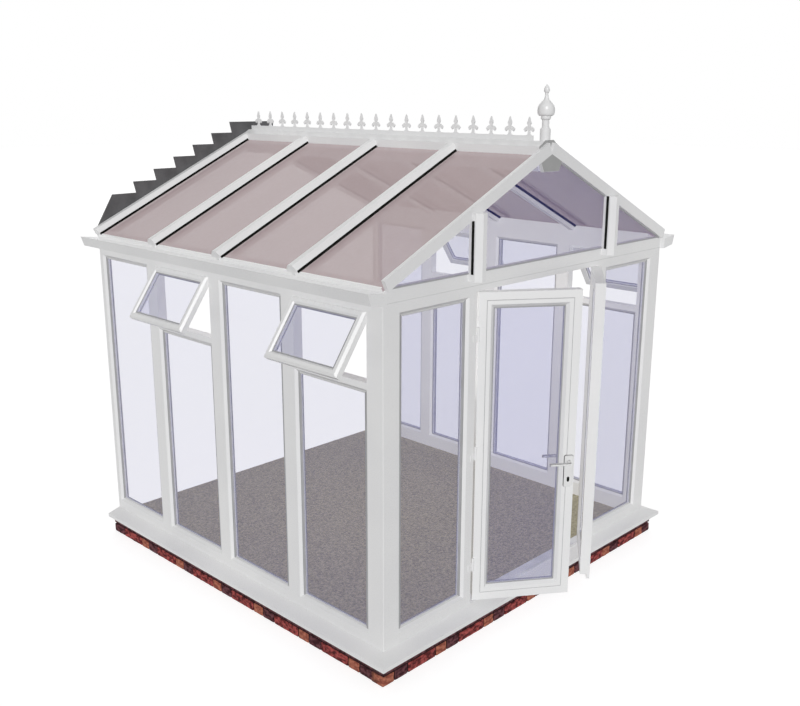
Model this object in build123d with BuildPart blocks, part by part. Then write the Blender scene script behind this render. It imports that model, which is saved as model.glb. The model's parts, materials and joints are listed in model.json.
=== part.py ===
"""A conservatory built against a house: white frames on a low brick plinth, under a glazed gable roof.

The front faces -Y and the open end that joins the house faces +Y. The origin is on the ground, at the
middle of the frames' plan. All sizes are in millimetres.
"""

import math
import os

from build123d import *

os.makedirs("parts", exist_ok=True)

# Overall plan and heights
width = 3000.0
depth = 3090.0
plinth_height = 140.0
sill_rise = 57.0
frame_height = 2163.0
roof_pitch = 25.0

# Brick plinth, floor and sills
plinth_projection = 54.0
plinth_thickness = 102.5
carpet_thickness = 15.0
sill_projection = 103.5
sill_nose = 28.0
drip_inset = 14.0
drip_width = 8.0
drip_depth = 5.0

# Window frames
frame_depth = 70.0
post_rounding = 4.0
jamb_face = 63.0
mullion_face = 115.0
back_jamb_face = 40.0
bottom_rail_face = 68.0
head_rail_face = 64.0
bead = 18.0
bead_slope = 45.0
glass_thickness = 24.0
glass_setback = 23.0
back_bay = 625.0
side_mullions = 3
transom_face = 41.0

# Opening vents, held open
vent_height = 417.0
vent_rise = 5.0
vent_clearance = 2.0
vent_inset = 5.0
vent_thickness = 50.0
vent_bevel = 14.0
vent_face = 36.0
vent_bead = 12.0
vent_angle = 35.0
seat_gap = 0.3

# French doors
door_angle = 36.0
hinge_line = 680.0
hinge_standoff = 12.0
door_jamb_face = 71.0
door_jamb_gap = 4.0
leaf_edge_gap = 3.0
leaf_meeting_gap = 9.0
leaf_foot_gap = 23.0
leaf_head_drop = 46.0
leaf_thickness = 65.0
leaf_face = 80.0
leaf_bead = 20.0
leaf_flange = 20.0
leaf_rebate = 30.0
threshold_height = 15.0
door_head_gap = 8.0
hinge_height = 90.0
hinge_radius = 9.0
hinge_split = 1.0
hinge_plate_width = 32.0
hinge_plate_thickness = 5.0
pin_radius = 4.0
pin_clearance = 0.3
hinge_end_inset = 220.0

# Door handle
plate_width = 58.0
plate_height = 216.0
plate_thickness = 9.0
plate_rounding = 10.0
plate_drop = 65.0
lever_height = 1170.0
lever_length = 140.0
lever_standoff = 44.0
lever_radius = 11.0
lever_bend = 16.0
lever_clearance = 1.5
keyhole_drop = 122.0
keyhole_radius = 8.0
spindle_radius = 5.0
spindle_clearance = 0.3

# Roof
eaves_rise = 101.0
tie_beam_height = 80.0
panel_thickness = 25.0
panel_overhang = 12.0
bars_per_side = 4
first_bar = 749.0
wall_bar_inset = 19.0
bar_width = 96.0
bar_cap = 48.0
bar_web = 30.0
bar_spar = 45.0
bar_spar_width = 44.0
bar_bevel_run = 28.0
bar_bevel_drop = 32.0
bar_overhang = 18.0
gable_overhang = 26.0
rafter_depth = 74.0
rafter_rise = 40.0
rafter_reach = 13.0
rafter_notch = 55.0
gable_bar_offset = 725.0
gable_bar_width = 98.0
gable_bar_flat = 35.0
gable_bar_depth = 84.0
gable_bar_shoulder = 50.0
gable_bar_drop = 45.0
gutter_reach = 149.0
gutter_run_out = 34.0
gutter_fall = 20.0
gutter_lean = 25.0
gutter_wall = 6.0
gutter_drop = 6.0

# Ridge, cresting, finial and flashing
ridge_beam_width = 190.0
ridge_beam_foot = 152.0
ridge_beam_drop = 76.0
boss_width = 228.0
boss_foot = 166.0
boss_drop = 59.0
ridge_cap_width = 190.0
ridge_cap_rise = 39.5
ridge_cap_flat = 72.0
ridge_shoulder_drop = 15.0
ridge_shoulder_width = 120.0
ridge_gap = 40.0
crest_thickness = 12.0
crest_strip = 32.0
crest_start = 129.0
spike_first = 163.0
spike_last = 94.0
spike_pitch = 157.0
spike_height = 118.0
spike_width = 82.0
spike_foot_shares = [(0.54, 0.0), (0.24, 0.06), (0.18, 0.14), (0.18, 0.28)]
spike_leaf_under_shares = [(0.18, 0.28), (0.46, 0.26), (0.76, 0.19)]
spike_leaf_over_shares = [(1.0, 0.31), (0.62, 0.45), (0.22, 0.5)]
spike_head_shares = [(0.22, 0.5), (0.22, 0.54), (0.39, 0.66), (0.0, 1.0)]
finial_place = 35.0
finial_base = 68.0
finial_base_height = 75.0
finial_shoulder_height = 88.0
finial_stem = 46.0
finial_stem_height = 131.0
finial_collar = 64.0
finial_collar_height = 140.0
finial_cup = 66.0
finial_cup_height = 156.0
finial_bulb = 111.0
finial_bulb_height = 193.0
finial_waist = 33.0
finial_waist_height = 262.0
finial_spire = 20.0
finial_spire_height = 297.0
finial_bud = 37.0
finial_bud_height = 315.0
finial_height = 354.0
flashing_thickness = 4.0
flashing_foot = 50.0
flashing_rise = 65.0
flashing_flat = 234.0
flashing_end = 141.0
step_count = 7
step_lean = 21.0

# Places worked out from those sizes
half = width / 2
front = -depth / 2
back = depth / 2
slope = math.tan(math.radians(roof_pitch))
rake = math.cos(math.radians(roof_pitch))
frame_bottom = plinth_height + sill_rise
frame_top = frame_bottom + frame_height
tie_beam_top = frame_top + tie_beam_height
panel_apex = frame_top + eaves_rise + half * slope
panel_foot = panel_apex - panel_thickness / rake
rafter_apex = panel_apex + rafter_rise / rake
rafter_foot = rafter_apex - rafter_depth / rake
ridge_cap_top = panel_apex + ridge_cap_rise
rail_top = frame_bottom + bottom_rail_face
rail_head = frame_top - head_rail_face
corner_face = frame_depth + jamb_face
fixed_run = corner_face + side_mullions * mullion_face + back_bay + back_jamb_face
side_bay = (depth - fixed_run) / side_mullions
vent_opening_head = rail_head + vent_rise
vent_head = vent_opening_head - seat_gap
transom_top = vent_head - vent_height - vent_clearance
transom_bottom = transom_top - transom_face
inner_front = front + frame_depth
door_edge = hinge_line + door_jamb_gap
panel_edge = door_edge + door_jamb_face
leaf_bottom = frame_bottom + leaf_foot_gap
leaf_top = frame_top - leaf_head_drop
door_head = leaf_top + door_head_gap
sill_tip = half + sill_projection
plinth_outer = half + plinth_projection
plinth_inner = plinth_outer - plinth_thickness
plinth_front = front - plinth_projection
leaf_near = leaf_edge_gap
leaf_far = hinge_line - leaf_meeting_gap
handle_line = leaf_far - leaf_face / 2
bar_spacing = (depth - first_bar - wall_bar_inset) / (bars_per_side - 1)


def across(y):
    """An upright plane facing the front; its axes are +X and +Z, and pulling by -d goes back by d."""
    return Plane.XZ.offset(-y)


def along(x):
    """An upright plane facing +X; its axes are +Y and +Z."""
    return Plane.YZ.offset(x)


def outline(plane, points):
    """The flat face on a plane inside a closed outline of straight lines."""
    with BuildSketch(plane) as face:
        with BuildLine():
            Polyline(*points, close=True)
        make_face()
    return face.sketch


def section(low, high, bead_low, bead_high):
    """A frame member's section as (place along the wall, depth behind its outer face) pairs.

    The outer face runs from low to high. On a side that holds glass, a sloping bead widens the member.
    """
    points = [(low, 0.0), (high, 0.0)]
    if bead_high:
        points += [(high + bead, bead), (high + bead, frame_depth - bead)]
    points += [(high, frame_depth), (low, frame_depth)]
    if bead_low:
        points += [(low - bead, frame_depth - bead), (low - bead, bead)]
    return points


def side_post(low, high, bead_low, bead_high, bottom, top):
    """Adds an upright member of the left wall, placed by its distances back from the front face."""
    points = [(inward - half, front + place) for place, inward in section(low, high, bead_low, bead_high)]
    extrude(outline(Plane.XY.offset(bottom), points), amount=top - bottom)


def side_rail(low, high, bead_low, bead_high, start, end, mode=Mode.ADD):
    """Adds, or cuts away, a level member of the left wall between two distances from the front face."""
    points = [(inward - half, place) for place, inward in section(low, high, bead_low, bead_high)]
    extrude(outline(across(front + start), points), amount=start - end, mode=mode)


def front_post(low, high, bead_low, bead_high, bottom, top):
    """Adds an upright member of the front wall between two places across it."""
    points = [(place, front + inward) for place, inward in section(low, high, bead_low, bead_high)]
    extrude(outline(Plane.XY.offset(bottom), points), amount=top - bottom)


def front_rail(low, high, bead_low, bead_high, start, end, mode=Mode.ADD):
    """Adds, or cuts away, a level member of the front wall between two places across it."""
    points = [(front + inward, place) for place, inward in section(low, high, bead_low, bead_high)]
    extrude(outline(along(start), points), amount=end - start, mode=mode)


def block(x_low, x_high, y_low, y_high, z_low, z_high, mode=Mode.ADD):
    """Adds, or cuts away, a rectangular block between three pairs of faces."""
    points = [(x_low, y_low), (x_high, y_low), (x_high, y_high), (x_low, y_high)]
    extrude(outline(Plane.XY.offset(z_low), points), amount=z_high - z_low, mode=mode)


def finish(builder, name):
    """Names a finished piece and writes its file."""
    builder.part.label = name
    export_step(builder.part, f"parts/{name}.step")


def roof_line(apex, x):
    """The height at x of a line that falls both ways from the apex at the roof's pitch."""
    return apex - abs(x) * slope


# Brick plinth: three straight half-brick walls, the house closing the fourth side
with BuildPart() as left_plinth:
    block(-plinth_outer, -plinth_inner, plinth_front + plinth_thickness, back, 0, plinth_height)
finish(left_plinth, "left_plinth")

with BuildPart() as right_plinth:
    mirror(left_plinth.part, about=Plane.YZ)
finish(right_plinth, "right_plinth")

with BuildPart() as front_plinth:
    block(-plinth_outer, plinth_outer, plinth_front, plinth_front + plinth_thickness, 0, plinth_height)
finish(front_plinth, "front_plinth")

# Floor: a slab within the plinth, and the carpet within the sills
with BuildPart() as floor_slab:
    block(-plinth_inner, plinth_inner, plinth_front + plinth_thickness, back, 0, plinth_height)
finish(floor_slab, "floor_slab")

with BuildPart() as carpet:
    block(
        frame_depth - half,
        half - frame_depth,
        inner_front,
        back,
        plinth_height,
        plinth_height + carpet_thickness,
    )
finish(carpet, "carpet")

# Sills: a nosed section with a drip groove, mitred at the corners
nose_top = plinth_height + sill_nose
groove_outer = drip_inset - sill_projection
groove_inner = groove_outer + drip_width
sill_section = [
    (-sill_projection, plinth_height),
    (groove_outer, plinth_height),
    (groove_outer, plinth_height + drip_depth),
    (groove_inner, plinth_height + drip_depth),
    (groove_inner, plinth_height),
    (frame_depth, plinth_height),
    (frame_depth, frame_bottom),
    (0.0, frame_bottom),
    (-sill_projection, nose_top),
]
left_mitre = Plane(origin=(-half, front, 0), z_dir=(-1, 1, 0))
right_mitre = Plane(origin=(half, front, 0), z_dir=(1, 1, 0))

with BuildPart() as left_sill:
    sill_front = front - sill_projection
    extrude(
        outline(across(sill_front), [(inward - half, height) for inward, height in sill_section]),
        amount=sill_front - back,
    )
    split(bisect_by=left_mitre, keep=Keep.TOP)
finish(left_sill, "left_sill")

with BuildPart() as right_sill:
    mirror(left_sill.part, about=Plane.YZ)
finish(right_sill, "right_sill")

with BuildPart() as front_sill:
    extrude(
        outline(along(-sill_tip), [(front + inward, height) for inward, height in sill_section]),
        amount=2 * sill_tip,
    )
    split(bisect_by=left_mitre, keep=Keep.BOTTOM)
    split(bisect_by=right_mitre, keep=Keep.BOTTOM)
finish(front_sill, "front_sill")

# Corner posts
with BuildPart() as left_corner_post:
    block(-half, frame_depth - half, front, inner_front, frame_bottom, frame_top)
    fillet(left_corner_post.edges().filter_by(Axis.Z).sort_by(Axis.X)[:2].sort_by(Axis.Y)[0], post_rounding)
finish(left_corner_post, "left_corner_post")

with BuildPart() as right_corner_post:
    mirror(left_corner_post.part, about=Plane.YZ)
finish(right_corner_post, "right_corner_post")

# Side walls: rails, mullions, transoms and panes, mirrored from left to right
mullion_starts = [corner_face + side_bay + i * (side_bay + mullion_face) for i in range(side_mullions)]
bay_starts = [corner_face] + [start + mullion_face for start in mullion_starts]
bay_ends = mullion_starts + [depth - back_jamb_face]
vent_bays = list(zip(bay_starts, bay_ends))[::2]
fixed_bays = list(zip(bay_starts, bay_ends))[1::2]


def clear_vents():
    """Cuts the beads away round the left wall's vents, so that the sashes close into plain openings."""
    inner = frame_depth - half
    for start, end in vent_bays:
        near = front + start
        far = front + end
        block(-half, inner, near, far, transom_top, vent_opening_head, mode=Mode.SUBTRACT)


with BuildPart() as wall_rails:
    side_rail(frame_bottom, rail_top, False, True, frame_depth, depth)
    side_rail(rail_head, frame_top, True, False, frame_depth, depth)
    clear_vents()
    mirror(about=Plane.YZ)
finish(wall_rails, "wall_rails")

with BuildPart() as wall_mullions:
    side_post(frame_depth, corner_face, False, True, rail_top, rail_head)
    for start in mullion_starts:
        side_post(start, start + mullion_face, True, True, rail_top, rail_head)
    side_post(depth - back_jamb_face, depth, True, False, rail_top, rail_head)
    side_rail(frame_bottom, rail_top, False, True, frame_depth, depth, mode=Mode.SUBTRACT)
    side_rail(rail_head, frame_top, True, False, frame_depth, depth, mode=Mode.SUBTRACT)
    clear_vents()
    mirror(about=Plane.YZ)
finish(wall_mullions, "wall_mullions")

with BuildPart() as wall_transoms:
    for start, end in vent_bays:
        side_rail(transom_bottom, transom_top, True, False, start, end)
    mirror(about=Plane.YZ)
    add(wall_mullions.part, mode=Mode.SUBTRACT)
finish(wall_transoms, "wall_transoms")


def wall_pane(start, end, bottom, top):
    """Adds a pane to the left wall, seated on the beads all round."""
    near = front + start + bead
    far = front + end - bead
    outer = glass_setback - half
    block(outer, outer + glass_thickness, near, far, bottom + bead, top - bead)


with BuildPart() as wall_glass:
    for start, end in vent_bays:
        wall_pane(start, end, rail_top, transom_bottom)
    for start, end in fixed_bays:
        wall_pane(start, end, rail_top, rail_head)
    mirror(about=Plane.YZ)
finish(wall_glass, "wall_glass")

# Vents: top-hung sashes held open, each bevelled round its face and hanging under the head rail
lean = math.radians(vent_angle)


def vent_plane(place):
    """The back of a vent's bevels: its axes run forwards along the wall and up the leaning sash."""
    return Plane(
        origin=(vent_inset - half, front + place, vent_head),
        x_dir=(0, -1, 0),
        z_dir=(-math.cos(lean), 0, math.sin(lean)),
    )


def vent_frame(start, end, inset):
    """The corners of a rectangle set in from the edges of a vent's sash."""
    low = start - end + vent_clearance + inset
    high = -vent_clearance - inset
    foot = inset - vent_height
    return [(low, foot), (high, foot), (high, -inset), (low, -inset)]


with BuildPart() as vent_sashes:
    for start, end in vent_bays:
        bevel_plane = vent_plane(start)
        face_plane = bevel_plane.offset(vent_bevel)
        extrude(outline(bevel_plane, vent_frame(start, end, 0)), amount=vent_bevel, taper=bead_slope)
        extrude(outline(bevel_plane, vent_frame(start, end, 0)), amount=vent_bevel - vent_thickness)
        inner_line = outline(face_plane, vent_frame(start, end, vent_face))
        extrude(inner_line, amount=-vent_bead, taper=bead_slope, mode=Mode.SUBTRACT)
        light = outline(face_plane, vent_frame(start, end, vent_face + vent_bead))
        extrude(light, amount=-vent_thickness, mode=Mode.SUBTRACT)
    mirror(about=Plane.YZ)
finish(vent_sashes, "vent_sashes")

with BuildPart() as vent_glass:
    for start, end in vent_bays:
        pane_plane = vent_plane(start).offset(vent_bevel - vent_bead)
        pane = outline(pane_plane, vent_frame(start, end, vent_face + vent_bead))
        extrude(pane, amount=-glass_thickness)
    mirror(about=Plane.YZ)
finish(vent_glass, "vent_glass")

# Front wall: a fixed light each side of the doorway
with BuildPart() as front_rails:
    front_rail(frame_bottom, rail_top, False, True, frame_depth - half, -door_edge)
    front_rail(rail_head, frame_top, True, False, frame_depth - half, -door_edge)
    mirror(about=Plane.YZ)
finish(front_rails, "front_rails")

with BuildPart() as front_jambs:
    front_post(frame_depth - half, corner_face - half, False, True, rail_top, rail_head)
    front_post(-panel_edge, -door_edge, True, False, rail_top, rail_head)
    front_rail(frame_bottom, rail_top, False, True, -half, -door_edge, mode=Mode.SUBTRACT)
    front_rail(rail_head, frame_top, True, False, -half, -door_edge, mode=Mode.SUBTRACT)
    mirror(about=Plane.YZ)
finish(front_jambs, "front_jambs")

with BuildPart() as front_glass:
    block(
        corner_face - half + bead,
        -panel_edge - bead,
        front + glass_setback,
        front + glass_setback + glass_thickness,
        rail_top + bead,
        rail_head - bead,
    )
    mirror(about=Plane.YZ)
finish(front_glass, "front_glass")

with BuildPart() as door_head_rail:
    block(-door_edge, door_edge, front, inner_front, door_head, frame_top)
finish(door_head_rail, "door_head_rail")

with BuildPart() as door_threshold:
    block(-door_edge, door_edge, front, inner_front, frame_bottom, frame_bottom + threshold_height)
finish(door_threshold, "door_threshold")

# French doors: each leaf hangs on a hinge line in front of the wall, and stands open
swing = math.radians(door_angle)
leaf_along = Vector(math.cos(swing), -math.sin(swing), 0)
leaf_out = Vector(-math.sin(swing), -math.cos(swing), 0)
hinge_foot = Vector(-hinge_line, front - hinge_standoff, 0)
hinge_plane = Plane(origin=hinge_foot, x_dir=leaf_along, z_dir=leaf_out)
leaf_outer = hinge_plane.offset(-hinge_standoff)
leaf_inner = leaf_outer.offset(-leaf_thickness)
leaf_plan = Plane(origin=hinge_foot, x_dir=leaf_along, z_dir=(0, 0, 1))
leaf_inset = leaf_face + leaf_bead


def leaf_frame(inset):
    """The corners of a rectangle set in from the edges of a door leaf."""
    low = leaf_near + inset
    high = leaf_far - inset
    bottom = leaf_bottom + inset
    top = leaf_top - inset
    return [(low, bottom), (high, bottom), (high, top), (low, top)]


def round_at(plane, x, y, radius):
    """A disc on a plane, centred on a place in its axes."""
    with BuildSketch(plane) as disc:
        with Locations((x, y)):
            Circle(radius)
    return disc.sketch


def leaf_ring():
    """Adds a door leaf's frame in the left leaf's place, beaded round its glass, with a drip lip below."""
    inner_line = leaf_frame(leaf_face)
    extrude(outline(leaf_outer, leaf_frame(0)), amount=-leaf_thickness)
    extrude(outline(leaf_outer, inner_line), amount=-leaf_bead, taper=bead_slope, mode=Mode.SUBTRACT)
    extrude(outline(leaf_inner, inner_line), amount=leaf_bead, taper=bead_slope, mode=Mode.SUBTRACT)
    extrude(outline(leaf_outer, leaf_frame(leaf_inset)), amount=-leaf_thickness, mode=Mode.SUBTRACT)
    step = [
        (leaf_near, leaf_bottom),
        (leaf_far, leaf_bottom),
        (leaf_far, leaf_bottom + leaf_rebate),
        (leaf_near, leaf_bottom + leaf_rebate),
    ]
    extrude(outline(leaf_inner, step), amount=leaf_thickness - leaf_flange, mode=Mode.SUBTRACT)


with BuildPart() as left_door_frame:
    leaf_ring()
    spindle_hole = round_at(leaf_outer, handle_line, lever_height, spindle_radius + spindle_clearance)
    extrude(spindle_hole, amount=-leaf_thickness, mode=Mode.SUBTRACT)
finish(left_door_frame, "left_door_frame")

with BuildPart() as right_door_frame:
    leaf_ring()
    mirror(about=Plane.YZ, mode=Mode.REPLACE)
finish(right_door_frame, "right_door_frame")

with BuildPart() as left_door_glass:
    pane_plane = leaf_outer.offset((glass_thickness - leaf_thickness) / 2)
    extrude(outline(pane_plane, leaf_frame(leaf_inset)), amount=-glass_thickness)
finish(left_door_glass, "left_door_glass")

with BuildPart() as right_door_glass:
    mirror(left_door_glass.part, about=Plane.YZ)
finish(right_door_glass, "right_door_glass")

# Lift-off hinges: the lower knuckle and its pin on the jamb, the upper knuckle on the leaf
hinge_feet = [
    leaf_bottom + hinge_end_inset,
    (leaf_bottom + leaf_top - hinge_height) / 2,
    leaf_top - hinge_end_inset - hinge_height,
]
knuckle = (hinge_height - hinge_split) / 2
plate_outer = hinge_standoff - hinge_plate_thickness

with BuildPart() as door_frame_hinges:
    for foot in hinge_feet:
        jamb_plate = [
            (-door_edge - hinge_plate_width, front - hinge_plate_thickness),
            (-hinge_line, front - hinge_plate_thickness),
            (-hinge_line, front),
            (-door_edge - hinge_plate_width, front),
        ]
        level = Plane.XY.offset(foot)
        extrude(outline(level, jamb_plate), amount=knuckle)
        extrude(round_at(level, hinge_foot.X, hinge_foot.Y, hinge_radius), amount=knuckle)
        extrude(round_at(level, hinge_foot.X, hinge_foot.Y, pin_radius), amount=hinge_height)
    mirror(about=Plane.YZ)
finish(door_frame_hinges, "door_frame_hinges")

with BuildPart() as left_door_hinges:
    for foot in hinge_feet:
        level = leaf_plan.offset(foot + knuckle + hinge_split)
        leaf_plate = [
            (leaf_near, plate_outer),
            (leaf_near + hinge_plate_width, plate_outer),
            (leaf_near + hinge_plate_width, hinge_standoff),
            (leaf_near, hinge_standoff),
        ]
        extrude(outline(level, leaf_plate), amount=knuckle)
        extrude(round_at(level, 0, 0, hinge_radius), amount=knuckle)
        extrude(round_at(level, 0, 0, pin_radius + pin_clearance), amount=knuckle, mode=Mode.SUBTRACT)
finish(left_door_hinges, "left_door_hinges")

with BuildPart() as right_door_hinges:
    mirror(left_door_hinges.part, about=Plane.YZ)
finish(right_door_hinges, "right_door_hinges")

# Door handle on the left leaf: a back plate each side, and two levers on one spindle
lever_root = (handle_line, lever_height)


def handle_plate(plane):
    """Adds a back plate standing on a face of the leaf, with its spindle hole and keyhole cut through."""
    with BuildSketch(plane) as plate:
        with Locations((handle_line, lever_height - plate_drop)):
            RectangleRounded(plate_width, plate_height, plate_rounding)
        with Locations(lever_root):
            Circle(lever_radius + lever_clearance, mode=Mode.SUBTRACT)
        with Locations((handle_line, lever_height - keyhole_drop)):
            Circle(keyhole_radius, mode=Mode.SUBTRACT)
    extrude(plate.sketch, amount=plate_thickness)


def lever_arm(plane):
    """Adds a lever: a round bar that leaves the leaf square to its face and bends towards the hinges."""
    root = plane.from_local_coords((handle_line, lever_height, 0))
    elbow = plane.from_local_coords((handle_line, lever_height, lever_standoff))
    tip = plane.from_local_coords((handle_line - lever_length, lever_height, lever_standoff))
    with BuildLine() as path:
        FilletPolyline(root, elbow, tip, radius=lever_bend)
    sweep(round_at(plane, handle_line, lever_height, lever_radius), path=path.line)


with BuildPart() as door_handle_plates:
    handle_plate(leaf_outer)
    mirror(about=leaf_outer.offset(-leaf_thickness / 2))
finish(door_handle_plates, "door_handle_plates")

with BuildPart() as door_lever:
    lever_arm(leaf_outer.offset(plate_thickness / 2))
    extrude(
        round_at(leaf_outer.offset(-leaf_thickness / 2), handle_line, lever_height, spindle_radius),
        amount=leaf_thickness / 2 + plate_thickness,
    )
    mirror(about=leaf_outer.offset(-leaf_thickness / 2))
finish(door_lever, "door_lever")

# Eaves: a beam on each side wall, shaped to the panels it carries, with a gutter outside
left_beam = [
    (-half, frame_top),
    (frame_depth - half, frame_top),
    (frame_depth - half, roof_line(panel_foot, half - frame_depth)),
    (-half, roof_line(panel_foot, half)),
]
with BuildPart() as eaves_beams:
    extrude(outline(across(inner_front), left_beam), amount=inner_front - back)
    mirror(about=Plane.YZ)
finish(eaves_beams, "eaves_beams")

gutter_low = frame_top - gutter_drop
gutter_top = tie_beam_top + gutter_wall
gutter_lip = -half - gutter_reach
gutter_toe = gutter_lip + gutter_lean
gutter_head = roof_line(panel_foot, half) - gutter_wall
gutter_section = [
    (-half, gutter_low),
    (gutter_toe, gutter_low + gutter_fall),
    (gutter_lip, gutter_top),
    (gutter_lip + gutter_wall, gutter_top),
    (gutter_toe + gutter_wall, gutter_low + gutter_fall + gutter_wall),
    (-half - gutter_wall, gutter_low + gutter_wall),
    (-half - gutter_wall, gutter_head),
    (-half, gutter_head),
]
gutter_end = gutter_section[:3] + gutter_section[-1:]
gutter_front = front - gutter_run_out
with BuildPart() as gutters:
    extrude(outline(across(gutter_front), gutter_section), amount=gutter_front - back)
    extrude(outline(across(gutter_front), gutter_end), amount=-gutter_wall)
    extrude(outline(across(back), gutter_end), amount=gutter_wall)
    mirror(about=Plane.YZ)
finish(gutters, "gutters")

# Gable: a tie beam over the front wall, two rafters, and glazing bars standing in front of the glass
beam_shoulder = (panel_foot - tie_beam_top) / slope
tie_section = [
    (-half, frame_top),
    (half, frame_top),
    (half, roof_line(panel_foot, half)),
    (beam_shoulder, tie_beam_top),
    (-beam_shoulder, tie_beam_top),
    (-half, roof_line(panel_foot, half)),
]
with BuildPart() as gable_tie_beam:
    extrude(outline(across(front), tie_section), amount=-frame_depth)
finish(gable_tie_beam, "gable_tie_beam")

gable_front = front - gable_overhang
notch_half = rafter_notch / 2
rafter_end = half + rafter_reach
rafter_toe = rafter_end - rafter_depth * slope * rake
rafter_section = [
    (0.0, rafter_foot),
    (-notch_half, roof_line(rafter_apex, notch_half)),
    (-rafter_end, roof_line(rafter_apex, rafter_end)),
    (-rafter_toe, roof_line(rafter_foot, rafter_toe)),
]
with BuildPart() as left_gable_rafter:
    extrude(outline(across(gable_front), rafter_section), amount=-gable_overhang)
finish(left_gable_rafter, "left_gable_rafter")

with BuildPart() as right_gable_rafter:
    mirror(left_gable_rafter.part, about=Plane.YZ)
finish(right_gable_rafter, "right_gable_rafter")

with BuildPart() as gable_bars:
    gable_bar_half = gable_bar_width / 2
    gable_flat_half = gable_bar_flat / 2
    gable_bar_plan = [
        (-gable_bar_offset - gable_bar_half, front),
        (-gable_bar_offset - gable_bar_half, front - gable_bar_shoulder),
        (-gable_bar_offset - gable_flat_half, front - gable_bar_depth),
        (-gable_bar_offset + gable_flat_half, front - gable_bar_depth),
        (-gable_bar_offset + gable_bar_half, front - gable_bar_shoulder),
        (-gable_bar_offset + gable_bar_half, front),
    ]
    bar_foot = tie_beam_top - gable_bar_drop
    bar_head = roof_line(rafter_foot, gable_bar_offset - gable_bar_half)
    extrude(outline(Plane.XY.offset(bar_foot), gable_bar_plan), amount=bar_head - bar_foot)
    add(left_gable_rafter.part, mode=Mode.SUBTRACT)
    mirror(about=Plane.YZ)
finish(gable_bars, "gable_bars")

gable_pane = [(-beam_shoulder, tie_beam_top), (beam_shoulder, tie_beam_top), (0.0, panel_foot)]
with BuildPart() as gable_glass:
    extrude(outline(across(front), gable_pane), amount=-glass_thickness)
finish(gable_glass, "gable_glass")

# Roof slopes: evenly spaced bars, the last one cut flush at the house, with the panels between them
bar_places = [front + first_bar + i * bar_spacing for i in range(bars_per_side)]
ridge_half = ridge_cap_width / 2


def down_slope(y):
    """A plane square to the left slope at the ridge line; its axes run forwards and up from the slope."""
    return Plane(origin=(0, y, panel_apex), x_dir=(0, -1, 0), z_dir=(-1, 0, -slope))


with BuildPart() as roof_bars:
    cap_half = bar_width / 2
    web_half = bar_web / 2
    spar_half = bar_spar_width / 2
    upper_section = [
        (-web_half, -panel_thickness),
        (web_half, -panel_thickness),
        (web_half, 0.0),
        (cap_half, 0.0),
        (cap_half, bar_cap - bar_bevel_drop),
        (cap_half - bar_bevel_run, bar_cap),
        (bar_bevel_run - cap_half, bar_cap),
        (-cap_half, bar_cap - bar_bevel_drop),
        (-cap_half, 0.0),
        (-web_half, 0.0),
    ]
    spar_foot = -panel_thickness - bar_spar
    spar_section = [
        (-spar_half, spar_foot),
        (spar_half, spar_foot),
        (spar_half, -panel_thickness),
        (-spar_half, -panel_thickness),
    ]
    for place in bar_places:
        extrude(outline(down_slope(place), upper_section), amount=(half + bar_overhang) / rake)
        extrude(outline(down_slope(place), spar_section), amount=(half - frame_depth) / rake)
    split(bisect_by=Plane.YZ.offset(-ridge_half), keep=Keep.BOTTOM)
    split(bisect_by=across(back), keep=Keep.TOP)
    mirror(about=Plane.YZ)
finish(roof_bars, "roof_bars")

with BuildPart() as roof_panels:
    panel_starts = [front] + [place + bar_web / 2 for place in bar_places[:-1]]
    panel_ends = [place - bar_web / 2 for place in bar_places]
    for start, end in zip(panel_starts, panel_ends):
        panel_width = end - start
        panel_section = [
            (0.0, -panel_thickness),
            (panel_width, -panel_thickness),
            (panel_width, 0.0),
            (0.0, 0.0),
        ]
        extrude(outline(down_slope(end), panel_section), amount=(half + panel_overhang) / rake)
    split(bisect_by=Plane.YZ.offset(-ridge_gap / 2), keep=Keep.BOTTOM)
    mirror(about=Plane.YZ)
finish(roof_panels, "roof_panels")

# Ridge: a beam under the panels, a boss at the head of the gable, and a cap over the panels' top edges
def ridge_section(apex, breadth, foot_breadth, drop):
    """A five-sided section whose top follows the two slopes."""
    side = breadth / 2
    foot_side = foot_breadth / 2
    shoulder = roof_line(apex, side)
    foot = shoulder - drop
    return [(0, apex), (-side, shoulder), (-foot_side, foot), (foot_side, foot), (side, shoulder)]


with BuildPart() as ridge_beam:
    beam_start = front + glass_thickness
    beam_section = ridge_section(panel_foot, ridge_beam_width, ridge_beam_foot, ridge_beam_drop)
    extrude(outline(across(beam_start), beam_section), amount=beam_start - back)
finish(ridge_beam, "ridge_beam")

with BuildPart() as gable_boss:
    boss_section = ridge_section(rafter_foot, boss_width, boss_foot, boss_drop)
    extrude(outline(across(gable_front), boss_section), amount=-gable_overhang)
finish(gable_boss, "gable_boss")

cap_side = roof_line(panel_apex, ridge_half)
flat_half = ridge_cap_flat / 2
shoulder_half = ridge_shoulder_width / 2
with BuildPart() as ridge_cap:
    cap_section = [
        (0.0, panel_apex),
        (-ridge_half, cap_side),
        (-ridge_half, cap_side + bar_cap / rake),
        (-shoulder_half, ridge_cap_top - ridge_shoulder_drop),
        (-flat_half, ridge_cap_top),
        (flat_half, ridge_cap_top),
        (shoulder_half, ridge_cap_top - ridge_shoulder_drop),
        (ridge_half, cap_side + bar_cap / rake),
        (ridge_half, cap_side),
    ]
    extrude(outline(across(front), cap_section), amount=-depth)
finish(ridge_cap, "ridge_cap")

# Cresting: a strip along the ridge with a row of lily-headed spikes cut from one plate
crest_top = ridge_cap_top + crest_strip
spike_run = depth - spike_first - spike_last
spike_gaps = round(spike_run / spike_pitch)
spike_places = [front + spike_first + i * spike_run / spike_gaps for i in range(spike_gaps + 1)]


def spike_line(place, side, shares):
    """Points of one half of a spike, from their shares of its half width and its height."""
    reach = side * spike_width / 2
    return [(place + out * reach, crest_top + up * spike_height) for out, up in shares]


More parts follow.
